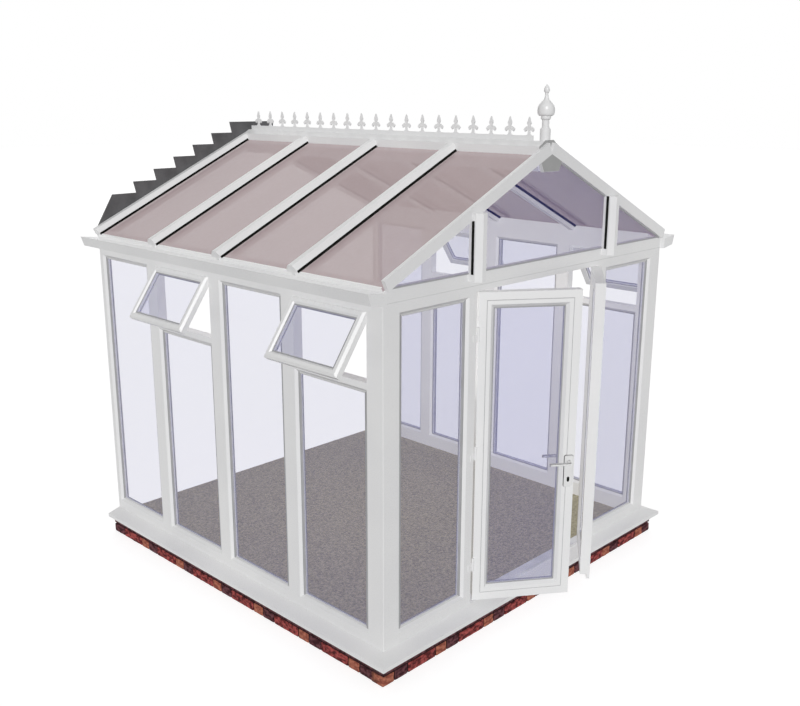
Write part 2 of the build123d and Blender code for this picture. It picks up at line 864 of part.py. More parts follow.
with BuildPart() as ridge_cresting:
    with BuildSketch(along(-crest_thickness / 2)) as crest:
        strip_start = front + crest_start
        with Locations(((strip_start + back) / 2, ridge_cap_top + crest_strip / 2)):
            Rectangle(back - strip_start, crest_strip)
        for place in spike_places:
            for side in (-1, 1):
                foot = spike_line(place, side, spike_foot_shares)
                under = spike_line(place, side, spike_leaf_under_shares)
                over = spike_line(place, side, spike_leaf_over_shares)
                head = spike_line(place, side, spike_head_shares)
                with BuildLine():
                    Polyline((place, crest_top), *foot)
                    ThreePointArc(*under)
                    Line(under[-1], over[0])
                    ThreePointArc(*over)
                    Polyline(*head, (place, crest_top))
                make_face()
    extrude(crest.sketch, amount=crest_thickness)
finish(ridge_cresting, "ridge_cresting")

# Finial: a turned piece standing on the front end of the ridge
def turned(girth, height):
    """A point on the finial's outline, from its thickness there and its height above the ridge."""
    return (girth / 2, ridge_cap_top + height)


with BuildPart() as finial:
    stem_head = turned(finial_stem, finial_stem_height)
    cup = turned(finial_cup, finial_cup_height)
    bulb = turned(finial_bulb, finial_bulb_height)
    waist = turned(finial_waist, finial_waist_height)
    spire = turned(finial_spire, finial_spire_height)
    bud = turned(finial_bud, finial_bud_height)
    tip = turned(0, finial_height)
    with BuildSketch(across(front + finial_place)) as turning:
        with BuildLine():
            Polyline(
                turned(0, 0),
                turned(finial_base, 0),
                turned(finial_base, finial_base_height),
                turned(finial_stem, finial_shoulder_height),
                stem_head,
                turned(finial_collar, finial_collar_height),
                cup,
            )
            Spline(cup, bulb, tangents=((1, 0), (0, 1)))
            Spline(bulb, waist, spire, tangents=((0, 1), (0, 1)))
            Spline(spire, bud, tangents=((1, 1), (0, 1)))
            Spline(bud, tip, tangents=((0, 1), (-1, 2)))
            Line(tip, turned(0, 0))
        make_face()
    revolve(turning.sketch, axis=Axis((0, front + finial_place, 0), (0, 0, 1)))
finish(finial, "finial")

# Stepped lead flashing where the roof meets the house
flashing_top = ridge_cap_top + flashing_rise
step_run = (half - flashing_flat - flashing_end) / (step_count - 1)
step_rise = step_run * slope
risers = []
for i in range(step_count):
    corner = flashing_flat + i * step_run
    level = flashing_top - i * step_rise
    risers += [(corner, level), (corner - step_lean, level - step_rise)]
risers[-1] = (half, roof_line(panel_apex, half) + flashing_foot)
stepped = risers + [(half, roof_line(panel_apex, half))]
with BuildPart() as stepped_flashing:
    right_side = stepped + [(0.0, panel_apex), (0.0, flashing_top)]
    extrude(outline(across(back), right_side), amount=-flashing_thickness)
    mirror(about=Plane.YZ)
finish(stepped_flashing, "stepped_flashing")
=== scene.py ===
"""Finishes and fitted trim for a gable-front conservatory.

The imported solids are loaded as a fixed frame, in metres. Each operator lays one group of like pieces on that
frame. Every new piece is a numpy surface: a profile carried along a path, or a height over a grid.
"""

import json
import math

import bmesh
import bpy
import numpy as np
from bpy.props import FloatProperty, FloatVectorProperty, IntProperty, PointerProperty
from mathutils import Matrix, Vector


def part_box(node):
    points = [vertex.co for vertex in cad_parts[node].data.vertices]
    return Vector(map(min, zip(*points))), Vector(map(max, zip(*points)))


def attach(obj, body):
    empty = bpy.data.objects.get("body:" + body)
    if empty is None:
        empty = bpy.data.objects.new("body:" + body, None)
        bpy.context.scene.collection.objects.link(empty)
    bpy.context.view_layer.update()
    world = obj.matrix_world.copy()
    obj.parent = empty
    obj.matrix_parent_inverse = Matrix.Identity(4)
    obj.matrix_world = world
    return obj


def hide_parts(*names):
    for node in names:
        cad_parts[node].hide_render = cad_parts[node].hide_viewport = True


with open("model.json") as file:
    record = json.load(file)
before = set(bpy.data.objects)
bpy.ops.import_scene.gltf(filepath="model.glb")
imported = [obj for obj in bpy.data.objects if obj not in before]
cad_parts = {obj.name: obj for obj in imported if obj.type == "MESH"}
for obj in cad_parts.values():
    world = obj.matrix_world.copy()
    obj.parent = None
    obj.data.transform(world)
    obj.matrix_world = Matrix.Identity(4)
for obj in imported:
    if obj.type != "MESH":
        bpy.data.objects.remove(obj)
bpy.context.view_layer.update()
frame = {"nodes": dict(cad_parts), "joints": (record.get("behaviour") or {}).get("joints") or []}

bl_info = {
    "name": "Conservatory Finishes",
    "version": (1, 0, 0),
    "blender": (4, 5, 0),
    "location": "View3D > Sidebar > Conservatory",
    "description": "Lays brickwork, glazing seals, roof trim, door furniture and finishes on a conservatory",
    "category": "Object",
}

NODES = frame["nodes"]
JOINTS = {joint["name"]: joint for joint in frame["joints"]}
BUILDING = "conservatory"
LEFT_DOOR = "left_door"
RIGHT_DOOR = "right_door"
DOORS = (LEFT_DOOR, RIGHT_DOOR)
TAB = "Conservatory"

ALONG = np.array([0.0, 1.0, 0.0])
ACROSS = np.array([1.0, 0.0, 0.0])
UP = np.array([0.0, 0.0, 1.0])

# Lengths closer than TOUCH, in metres, count as equal. Corners that agree to SAME_POINT decimals count as one.
TOUCH = 1e-4
SAME_POINT = 5
# Points on a quarter turn and on a rounded outline.
ROUND_STEPS = 4
OUTLINE_POINTS = 24
# Where noise mostly lies, where a finish's patches change from one tone to the other, and how hard its grain shows.
NOISE_REACH = (0.3, 0.7)
PATCH_REACH = (0.35, 0.65)
GRAIN_STRENGTH = 0.3
# Creases of a brick: the number of waves, the least and most of a wave's radians a metre along and up and of its
# starting angle, and the height of the waves at which the face lies flush.
BRICK_WAVES = 7
WAVE_LEAST = (25, 25, 0)
WAVE_MOST = (120, 160, 2 * math.pi)
FLUSH_WAVE = 0.4
# Spacing of the points on a brick's face, and the shortest brick that ends a course, in joints.
BRICK_PITCH = 0.012
SHORTEST_BRICK = 4
# The camera's sensor in millimetres and how far it sees in metres.
SENSOR_WIDTH = 36.0
FAR_LIMIT = 500.0

GLASS_NODES = ("wall_glass", "vent_glass", "front_glass", "gable_glass", "left_door_glass", "right_door_glass")
BRICK_NODES = ("left_plinth", "right_plinth", "front_plinth")
METAL_NODES = ("door_handle_plates", "door_lever")
PLAIN_NODES = ("floor_slab", "carpet", "stepped_flashing", "door_threshold", "roof_panels")
SPECIAL_NODES = GLASS_NODES + BRICK_NODES + METAL_NODES + PLAIN_NODES


def colour(label, about, value):
    """A colour setting."""
    return FloatVectorProperty(name=label, description=about, default=value, subtype="COLOR", min=0, max=1)


def length(label, about, value):
    """A length setting, in metres."""
    return FloatProperty(name=label, description=about, default=value, unit="LENGTH", min=0)


def turn(label, about, degrees):
    """An angle setting, given here in degrees and kept in radians."""
    return FloatProperty(name=label, description=about, default=math.radians(degrees), subtype="ANGLE")


def strength(label, about, value):
    """A strength setting, from 0 upwards."""
    return FloatProperty(name=label, description=about, default=value, min=0)


def share(label, about, value):
    """A setting from 0 to 1."""
    return FloatProperty(name=label, description=about, default=value, subtype="FACTOR", min=0, max=1)


class FrameSettings(bpy.types.PropertyGroup):
    """The white plastic of the frames."""

    white: colour("White", "Main colour of the plastic", (0.80, 0.80, 0.80))
    shade: colour("Shade", "Colour of the slightly duller patches", (0.76, 0.76, 0.765))
    end_grey: colour("End plates", "Colour of the grey plates at the ridge end", (0.36, 0.36, 0.36))
    plate_lift: length("Plate lift", "How far an end plate stands off the solid", 0.002)
    boss_border: length("Boss border", "White border left around the boss's plate", 0.003)
    cap_brim: length("Cap brim", "How far the ridge cap's end plate stands out around the cap", 0.012)


class GlassSettings(bpy.types.PropertyGroup):
    """The panes and their seals."""

    tint: colour("Tint", "Colour that the panes add", (0.03, 0.03, 0.42))
    cover: share("Cover", "Share of the light that one face of a pane stops", 0.128)
    seal: colour("Seal", "Colour of the grey seals", (0.34, 0.34, 0.35))
    pale_seal: colour("Pale seal", "Colour of the seals on the outside of the walls", (0.66, 0.66, 0.66))
    pale_seal_width: length("Pale seal width", "Width of those outer seals", 0.013)
    # Grey seals up the pane sides, standing on the pale ones: their grey also paints the shade beside the beads.
    side_shade_seal_width: length("Side seal width", "Width of the grey seals up the sides of the wall panes", 0.020)
    side_shade_seal_rise: length("Side seal rise", "How far those stand out past the pale seals", 0.0005)
    wall_seal_width: length("Inner seal width", "Width of a seal on the inside of the walls", 0.008)
    wall_seal: length("Wall seal height", "Height of a seal on the wall panes", 0.006)
    leaf_seal_width: length("Leaf seal width", "Width of a seal on the door and vent panes", 0.008)
    leaf_seal: length("Leaf seal height", "Height of a seal on the door and vent panes", 0.003)
    vent_turn: turn("Vent angle", "How far the vents stand open", 35)


class RoofSettings(bpy.types.PropertyGroup):
    """The roof glazing and the trim on its bars."""

    pitch: turn("Pitch", "Slope of the roof", 25)
    tint: colour("Tint", "Colour of the roof glazing", (0.510, 0.412, 0.419))
    shade: colour("Shade", "Colour of its darker patches", (0.502, 0.404, 0.411))
    cover: share("Cover", "Share of the light that one face of the glazing stops", 0.64)
    rubber: colour("Rubber", "Colour of the black seals", (0.006, 0.006, 0.005))
    flap: length("Seal flap", "Thickness of a black seal's flap", 0.0016)
    rubber_height: length("Bar seal height", "Height of the black seal on a bar's side", 0.0155)
    rubber_foot: length("Bar seal foot", "Width of the black seal's foot on the glazing", 0.008)
    spar_seal: length("Spar seal", "Height of the black seals under the glazing", 0.016)
    spar_share: share("Spar seal width", "Width of those seals as a share of their height", 0.65)
    ridge_half: length("Ridge half width", "Where the bars start beside the ridge", 0.095)
    trim_white: colour("Edge trim", "Colour of the edge trim", (0.95, 0.95, 0.95))
    trim_lap: length("Edge trim lap", "Lap of the white edge trim over the glazing", 0.008)
    trim_wall: length("Edge trim wall", "Thickness of the edge trim", 0.0018)
    cap_thickness: length("End cap", "Thickness of a bar's end cap", 0.004)
    cap_rim: length("End cap rim", "How far an end cap stands out around its bar", 0.0008)
    cap_bevel: share("End cap bevel", "Share of a bar's width that each of its bevels takes", 0.29)
    cap_side: share("End cap side", "Share of a bar's height that its upright sides take", 1 / 3)
    gable_seal_near: length("Gable seal near", "Nearer edge of a gable bar's black seal, from the glass", 0.020)
    gable_seal_far: length("Gable seal far", "Further edge of that seal", 0.041)
    # The pale strip, darker than the frames, paints the shadow line of the joint under the tie beam.
    joint: length("Tie beam joint", "Height of the pale joint under the tie beam", 0.004)


class BrickSettings(bpy.types.PropertyGroup):
    """The brick plinth."""

    # The burn colours are partly the kiln's burn and partly painted shade in the creases of the brick faces.
    red: colour("Stretcher", "Colour of the long red bricks", (0.45, 0.095, 0.088))
    red_burn_and_shade: colour("Stretcher burn", "Colour of their burnt streaks", (0.095, 0.018, 0.020))
    orange: colour("Orange header", "Colour of the short orange bricks", (0.50, 0.180, 0.115))
    orange_burn_and_shade: colour("Orange burn", "Colour of their burnt streaks", (0.28, 0.080, 0.055))
    # The dark header colour also covers the whole upper course, as painted shade under the sill.
    purple: colour("Purple header", "Colour of the short dark bricks", (0.17, 0.065, 0.075))
    purple_burn_and_shade: colour("Purple burn", "Colour of their burnt streaks", (0.050, 0.014, 0.018))
    # The near-black mortar is partly its own dark colour and partly painted shade in the recessed joints.
    mortar: colour("Mortar", "Colour of the joints", (0.014, 0.008, 0.009))
    course: length("Course height", "Height of the lower course", 0.062)
    joint: length("Joint", "Thickness of the mortar joints", 0.012)
    recess: length("Recess", "How far the mortar lies behind the bricks", 0.010)
    rounding: length("Rounding", "Radius of a brick's worn edges", 0.006)
    crease: length("Crease", "Depth of the creases in the brick faces", 0.0035)
    stretcher: length("Stretcher length", "Length of a long brick with its joint", 0.258)
    header: length("Header length", "Length of an orange brick with its joint", 0.106)
    closer: length("Dark header length", "Length of a dark brick with its joint", 0.120)
    seed: IntProperty(name="Seed", description="Seed of the creases and tones", default=11, min=0)


class FloorSettings(bpy.types.PropertyGroup):
    """The carpet and the slab."""

    pile: colour("Pile", "Light colour of the carpet", (0.460, 0.418, 0.280))
    pile_shade: colour("Pile shade", "Dark colour of the carpet", (0.270, 0.246, 0.162))
    concrete: colour("Concrete", "Colour of the slab", (0.42, 0.41, 0.39))
    tuft: length("Tuft", "Spacing of the carpet's tufts", 0.021)
    tuft_height: length("Tuft height", "How far the tufts rise and fall", 0.0012)
    seed: IntProperty(name="Seed", description="Seed of the tufts", default=5, min=0)


class MetalSettings(bpy.types.PropertyGroup):
    """The door furniture and the lead."""

    silver: colour("Handle", "Colour of the door handles", (0.74, 0.74, 0.74))
    sill_metal: colour("Threshold", "Colour of the threshold", (0.72, 0.72, 0.73))
    lead: colour("Lead", "Main colour of the flashing", (0.085, 0.085, 0.088))
    lead_bloom: colour("Lead bloom", "Colour of the paler patches on the flashing", (0.125, 0.125, 0.13))


class DoorSettings(bpy.types.PropertyGroup):
    """The trim on the door leaves."""

    flange_width: length("Flange width", "Width of the raised flange around a leaf", 0.052)
    flange_height: length("Flange height", "How far the flange stands off the leaf", 0.0025)
    # A grey strip just inside the flange paints the shadow of a gap along its edge.
    painted_gap_shade: length("Groove", "Width of the grey groove inside the flange", 0.0025)
    painted_gap_shade_rise: length("Groove rise", "How far the groove's lining stands off the leaf", 0.0006)
    gasket_rim: length("Gasket rim", "How far the gasket shows around a handle plate", 0.0025)
    gasket_height: length("Gasket height", "Thickness of that gasket", 0.0042)
    plate_rounding: length("Plate rounding", "Radius of a handle plate's corners", 0.010)
    keyhole_width: length("Keyhole width", "Width of the keyhole's dark shield", 0.018)
    keyhole_height: length("Keyhole height", "Height of that shield", 0.036)
    keyhole_drop: length("Keyhole drop", "How far the keyhole lies under the lever", 0.122)
    shield_rise: length("Shield rise", "How far the shield stands off the handle plate", 0.0006)
    shield_root: length("Shield root", "How deep the shield is let into the handle plate", 0.002)


class StageSettings(bpy.types.PropertyGroup):
    """The floor, lights and camera."""

    floor: colour("Floor", "Colour of the floor", (0.50, 0.50, 0.50))
    floor_glow: strength("Floor glow", "Light that the floor adds", 0.68)
    floor_size: length("Floor size", "Half the width of the floor", 60.0)
    floor_drop: length("Floor drop", "How far the floor lies under the object", 0.001)
    sky: strength("Ambient", "Strength of the even light", 0.35)
    backdrop: strength("Backdrop", "Brightness of the backdrop", 1.0)
    key: strength("Key light", "Strength of the light from the camera's side", 2.0)
    key_spread: turn("Key spread", "Softness of the key light", 25)
    key_tilt: turn("Key tilt", "How much steeper than the camera the key light shines", 9)
    fill: strength("Fill light", "Strength of the light from behind", 0.8)
    fill_spread: turn("Fill spread", "Softness of the fill light", 60)
    fill_tilt: turn("Fill tilt", "Angle of the fill light from straight down", 72)
    room: strength("Room light", "Power of the soft light inside, in watts", 14.0)
    room_height: length("Room light height", "Height of that light over the ground", 1.6)
    room_size: length("Room light size", "Radius of that light", 0.5)
    camera_place: FloatVectorProperty(
        name="Camera", description="Where the camera stands", default=(-5.1802, -5.2536, 3.4759), subtype="XYZ"
    )
    heading: turn("Heading", "Camera's turn from +Y towards +X", 45.83)
    dip: turn("Dip", "Camera's tilt below the horizon", 14.90)
    roll: turn("Roll", "Camera's roll", 0.16)
    lens: FloatProperty(name="Lens", description="Focal length in millimetres", default=43.438, min=1)


def unit(vector):
    """The vector at length 1."""
    vector = np.asarray(vector, float)
    return vector / np.linalg.norm(vector)


def pane_axes(normal, up):
    """Rows u, v and n of a pane's own axes: n is its outward normal, v its upward edge and u is v cross n."""
    outward, upward = unit(normal), unit(up)
    return np.stack([np.cross(upward, outward), upward, outward])


def solids(node):
    """The corner points of each separate solid in a CAD node. Triangles that share a corner belong together: the
    lowest label spreads over shared corners until nothing changes."""
    mesh = NODES[node].data
    points = np.empty(len(mesh.vertices) * 3)
    mesh.vertices.foreach_get("co", points)
    points = points.reshape(-1, 3)
    mesh.calc_loop_triangles()
    triangles = np.empty(len(mesh.loop_triangles) * 3, int)
    mesh.loop_triangles.foreach_get("vertices", triangles)
    corners, index = np.unique(np.round(points, SAME_POINT), axis=0, return_inverse=True)
    triangles = index.reshape(-1)[triangles].reshape(-1, 3)
    labels = np.arange(len(corners))
    settled = False
    while not settled:
        spread = labels.copy()
        np.minimum.at(spread, triangles.ravel(), np.repeat(labels[triangles].min(axis=1), 3))
        settled = bool((spread == labels).all())
        labels = spread
    return [corners[labels == label] for label in np.unique(labels)]


def on_side(groups, side):
    """The solids whose middle lies on one side of the ridge: -1 is left and 1 is right."""
    return [points for points in groups if math.copysign(1, points[:, 0].mean()) == side]


def spans(groups, axes):
    """Lowest and highest reach of each solid along the given axes, as two arrays of solids by axes."""
    turned = [points @ axes.T for points in groups]
    return np.array([t.min(axis=0) for t in turned]), np.array([t.max(axis=0) for t in turned])


def carried(profile, path, across, up):
    """A closed profile carried along a path: at each station the point is the station, plus the profile's first
    number along the across direction, plus its second along the up direction. Gives an array of stations by profile
    points."""
    profile = np.asarray(profile, float)
    path = np.asarray(path, float)
    across = np.broadcast_to(across, path.shape)
    up = np.broadcast_to(up, path.shape)
    return path[:, None] + profile[None, :, :1] * across[:, None] + profile[None, :, 1:] * up[:, None]


def rings(groups, axes, profile, sides=(1, -1)):
    """Rings with mitred corners on the broad faces of solids: the profile, inwards from the solid's edge by outwards
    from its face, is set at the four corners. Side 1 is the outer face and -1 the inner one."""
    profile = np.asarray(profile, float)
    inward = np.array([(1, 1), (-1, 1), (-1, -1), (1, -1)])
    lows, highs = spans(groups, axes)
    grids = []
    for low, high in zip(lows, highs):
        corners = np.where(inward > 0, low[:2], high[:2])
        for side in sides:
            face = high[2] if side > 0 else low[2]
            flat = corners[:, None] + inward[:, None] * profile[None, :, :1]
            rise = np.broadcast_to(face + side * profile[None, :, 1:], (4, len(profile), 1))
            grids.append(np.concatenate([flat, rise], axis=2) @ axes)
    return grids


def seal_profile(wide, high):
    """A seal's profile, inwards from a pane's edge by outwards from its face: full height at the edge, a little lower
    at the shoulder, then falling to a thin lip."""
    shoulder, lip = (0.6 * wide, 0.85 * high), (wide, 0.3 * high)
    return [(0, 0), (0, high), shoulder, lip, (wide, 0)]


def leaf_axes(door):
    """The axes of a door leaf as it stands: the handle's axis is square to the left leaf, and the right leaf mirrors
    it."""
    outward = np.array(JOINTS["handle_turn"]["axis"])
    return pane_axes(outward * (1 if door == LEFT_DOOR else -1, 1, 1), UP)


def shell_faces(stations, sides, looped, offset):
    """Faces of one shell. Quads join each station to the next and each profile point to the next, and wrap round the
    profile. A looped path wraps too, and an open one gets a cap at each end."""
    rows = np.arange(stations if looped else stations - 1)
    columns = np.arange(sides)
    row, column = (grid.ravel() for grid in np.meshgrid(rows, columns, indexing="ij"))
    beyond, beside = (row + 1) % stations, (column + 1) % sides
    quads = np.stack(
        [row * sides + column, row * sides + beside, beyond * sides + beside, beyond * sides + column], axis=1
    )
    faces = (quads + offset).tolist()
    if not looped:
        faces += [(columns[::-1] + offset).tolist(), (columns + (stations - 1) * sides + offset).tolist()]
    return faces


def lay(name, grids, finish, body, looped=False, smooth=False, tones=None):
    """Makes one piece of many shells, each an array of stations by profile points, and lets it ride on a CAD body.
    Each shell's faces are turned outwards. Tones, one for each shell, are kept on its points as the attribute tone."""
    points, faces, offset = [], [], 0
    for grid in grids:
        stations, sides = grid.shape[:2]
        points.append(grid.reshape(-1, 3))
        faces += shell_faces(stations, sides, looped, offset)
        offset += stations * sides
    mesh = bpy.data.meshes.new(name)
    mesh.from_pydata(np.concatenate(points).tolist(), [], faces)
    if tones is not None:
        attribute = mesh.attributes.new("tone", "FLOAT", "POINT")
        spread = np.concatenate([np.full(len(p), tone, np.float32) for p, tone in zip(points, tones)])
        attribute.data.foreach_set("value", spread)
    shell = bmesh.new()
    shell.from_mesh(mesh)
    bmesh.ops.recalc_face_normals(shell, faces=shell.faces)
    shell.to_mesh(mesh)
    shell.free()
    mesh.polygons.foreach_set("use_smooth", np.full(len(mesh.polygons), smooth))
    mesh.materials.append(finish)
    mesh.update()
    piece = bpy.data.objects.new(name, mesh)
    bpy.context.scene.collection.objects.link(piece)
    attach(piece, body)
    return piece


def paint(finish, *nodes):
    """Gives CAD nodes a finish."""
    for node in nodes:
        materials = NODES[node].data.materials
        materials.clear()
        materials.append(finish)


def new_finish(name):
    """An empty procedural finish: the material, its node tree, its shader and its Object coordinates."""
    material = bpy.data.materials.get(name) or bpy.data.materials.new(name)
    material.use_nodes = True
    tree = material.node_tree
    tree.nodes.clear()
    output = tree.nodes.new("ShaderNodeOutputMaterial")
    shader = tree.nodes.new("ShaderNodeBsdfPrincipled")
    tree.links.new(shader.outputs["BSDF"], output.inputs["Surface"])
    place = tree.nodes.new("ShaderNodeTexCoord").outputs["Object"]
    return material, tree, shader, place


def noise(tree, place, scale, detail=4.0, stretch=None, slant=(0, 0, 0)):
    """Noise on a place, in patches about one over the scale wide. Stretch squeezes it along its axes, and slant turns
    them."""
    if stretch is not None:
        mapping = tree.nodes.new("ShaderNodeMapping")
        mapping.inputs["Scale"].default_value = stretch
        mapping.inputs["Rotation"].default_value = slant
        tree.links.new(place, mapping.inputs["Vector"])
        place = mapping.outputs["Vector"]
    node = tree.nodes.new("ShaderNodeTexNoise")
    node.inputs["Scale"].default_value = scale
    node.inputs["Detail"].default_value = detail
    tree.links.new(place, node.inputs["Vector"])
    return node.outputs["Fac"]


def ramp(tree, value, stops):
    """A colour ramp over a value: stops are pairs of place and colour."""
    node = tree.nodes.new("ShaderNodeValToRGB")
    elements = node.color_ramp.elements
    while len(elements) < len(stops):
        elements.new(1.0)
    for element, (place, tone) in zip(elements, stops):
        element.position = place
        element.color = (*tone[:3], 1.0)
    tree.links.new(value, node.inputs["Fac"])
    return node.outputs["Color"]


def ranged(tree, value, low, high):
    """A noise value, over the reach where it mostly lies, spread from low to high."""
    node = tree.nodes.new("ShaderNodeMapRange")
    node.inputs["From Min"].default_value, node.inputs["From Max"].default_value = NOISE_REACH
    node.inputs["To Min"].default_value = low
    node.inputs["To Max"].default_value = high
    tree.links.new(value, node.inputs["Value"])
    return node.outputs["Result"]


def relief(tree, shader, height, strength, distance):
    """Raises the surface by a height, at full height by the distance."""
    bump = tree.nodes.new("ShaderNodeBump")
    bump.inputs["Strength"].default_value = strength
    bump.inputs["Distance"].default_value = distance
    tree.links.new(height, bump.inputs["Height"])
    tree.links.new(bump.outputs["Normal"], shader.inputs["Normal"])


def mottled(name, low, high, patch, gloss, grain, depth, **sockets):
    """A finish whose colour drifts between two tones in patches, with a fine grain in its gloss and relief. Patch and
    grain are scales of noise, gloss is the least and most roughness, and depth is the relief's, in metres. Sockets
    are set as they are."""
    material, tree, shader, place = new_finish(name)
    patches = noise(tree, place, patch)
    fine = noise(tree, place, grain, detail=2.0)
    tree.links.new(ramp(tree, patches, list(zip(PATCH_REACH, (low, high)))), shader.inputs["Base Color"])
    tree.links.new(ranged(tree, fine, *gloss), shader.inputs["Roughness"])
    relief(tree, shader, fine, GRAIN_STRENGTH, depth)
    for socket, value in sockets.items():
        shader.inputs[socket.replace("_", " ")].default_value = value
    return material


def toned(tone, by):
    """A colour made darker or paler: each channel times the factor, and 1 at most."""
    return [min(1.0, channel * by) for channel in tone]


def settings(name):
    """One group of settings, by its name on the scene."""
    return getattr(bpy.context.scene, "conservatory_" + name)


def white_plastic():
    """Smooth white plastic with faint dull patches."""
    s = settings("frames")
    return mottled("white_plastic", s.shade, s.white, patch=1.7, gloss=(0.24, 0.36), grain=260, depth=0.00012)


def grey_seal():
    """Soft grey rubber."""
    s = settings("glass")
    paler = toned(s.seal, 1.12)
    return mottled("grey_seal", s.seal, paler, patch=9, gloss=(0.5, 0.65), grain=700, depth=0.0001)


def pale_seal():
    """Soft pale rubber."""
    s = settings("glass")
    darker = toned(s.pale_seal, 0.93)
    return mottled("pale_seal", darker, s.pale_seal, patch=9, gloss=(0.45, 0.6), grain=700, depth=0.0001)


def black_rubber():
    """Dull black rubber."""
    s = settings("roof")
    paler = toned(s.rubber, 1.8)
    dull = {"gloss": (0.6, 0.75), "Specular_IOR_Level": 0.1}
    return mottled("black_rubber", s.rubber, paler, patch=12, grain=800, depth=0.0001, **dull)


def clear_glass():
    """Faintly tinted clear glass: each face stops a small share of the light and adds its tint."""
    s = settings("glass")
    deeper = toned(s.tint, 0.9)
    clear = {"gloss": (0.02, 0.05), "Alpha": s.cover, "IOR": 1.5}
    glass = mottled("clear_glass", s.tint, deeper, patch=0.8, grain=3, depth=0.00003, **clear)
    glass.surface_render_method = "BLENDED"
    return glass


def roof_glazing():
    """Tinted, half see-through roof glazing with faint patches and a dull face."""
    s = settings("roof")
    hazy = {"gloss": (0.55, 0.7), "Alpha": s.cover, "IOR": 1.5}
    glazing = mottled("roof_glazing", s.shade, s.tint, patch=1.1, grain=40, depth=0.0001, **hazy)
    glazing.surface_render_method = "BLENDED"
    return glazing


class CONSERVATORY_OT_frames(bpy.types.Operator):
    """Finishes the frames, doors, sills, beams and roof members, and lays the grey plates on the ridge end"""

    bl_idname = "conservatory.frames"
    bl_label = "Frames"

    def execute(self, context):
        s = settings("frames")
        paint(white_plastic(), *(node for node in NODES if node not in SPECIAL_NODES))
        darker = toned(s.end_grey, 0.93)
        grey = mottled("grey_plastic", darker, s.end_grey, patch=6, gloss=(0.35, 0.5), grain=300, depth=0.0001)
        lay("ridge_end_plates", self.plates(s), grey, BUILDING)
        return {"FINISHED"}

    def plates(self, s):
        """End plates: a member's front outline, in order of angle about its middle, with each arm from the middle made
        longer by the growth, carried forwards by the lift."""
        grids = []
        for node, growth in (("gable_boss", -s.boss_border), ("ridge_cap", s.cap_brim)):
            points = np.concatenate(solids(node))
            front = points[:, 1].min()
            outline = points[points[:, 1] < front + TOUCH][:, (0, 2)]
            middle = outline.mean(axis=0)
            arms = outline - middle
            arms = arms[np.argsort(np.arctan2(arms[:, 1], arms[:, 0]))]
            reach = np.linalg.norm(arms, axis=1, keepdims=True)
            outline = middle + arms * (1 + growth / reach)
            path = [(0, front, 0), (0, front - s.plate_lift, 0)]
            grids.append(carried(outline, path, ACROSS, UP))
        return grids


class CONSERVATORY_OT_glass(bpy.types.Operator):
    """Glazes the panes and lays the pale and grey seals around them"""

    bl_idname = "conservatory.glass"
    bl_label = "Glass and seals"

    def execute(self, context):
        s = settings("glass")
        paint(clear_glass(), *GLASS_NODES)
        seal = grey_seal()
        outer = seal_profile(s.pale_seal_width, s.wall_seal)
        inner = seal_profile(s.wall_seal_width, s.wall_seal)
        thin = seal_profile(s.leaf_seal_width, s.leaf_seal)
        panes = [(on_side(solids("wall_glass"), side), pane_axes(side * ACROSS, UP)) for side in (-1, 1)]
        panes.append((solids("front_glass"), pane_axes(-ALONG, UP)))
        outside = [grid for groups, axes in panes for grid in rings(groups, axes, outer, (1,))]
        inside = [grid for groups, axes in panes for grid in rings(groups, axes, inner, (-1,))]
        # The grey side seals also paint the shade beside the beads, at both sides of each pane.
        sides = [grid for groups, axes in panes for grid in self.side_shade_seals(s, groups, axes)]
        lay("outer_wall_seals", outside, pale_seal(), BUILDING, looped=True)
        lay("outer_side_shade_seals", sides, seal, BUILDING)
        lay("inner_wall_seals", inside, seal, BUILDING, looped=True)
        vents = []
        for side in (-1, 1):
            sin, cos = math.sin(s.vent_turn), math.cos(s.vent_turn)
            axes = pane_axes((side * cos, 0, sin), (-side * sin, 0, cos))
            vents += rings(on_side(solids("vent_glass"), side), axes, thin)
        lay("vent_seals", vents, seal, BUILDING, looped=True)
        for door in DOORS:
            leaf = rings(solids(door + "_glass"), leaf_axes(door), thin)
            lay(door + "_seals", leaf, seal, door, looped=True)
        return {"FINISHED"}

    def side_shade_seals(self, s, groups, axes):
        """Grey seals up both sides of the panes' outer faces, their grey also painting the shade beside the beads: a
        seal's profile, a little higher than the pale one, carried upwards from the pane's foot to its head."""
        profile = seal_profile(s.side_shade_seal_width, s.wall_seal + s.side_shade_seal_rise)
        grids = []
        for low, high in zip(*spans(groups, axes)):
            for edge, inward in ((low[0], 1), (high[0], -1)):
                path = np.array([(edge, low[1], high[2]), (edge, high[1], high[2])]) @ axes
                grids.append(carried(profile, path, inward * axes[0], axes[2]))
        return grids


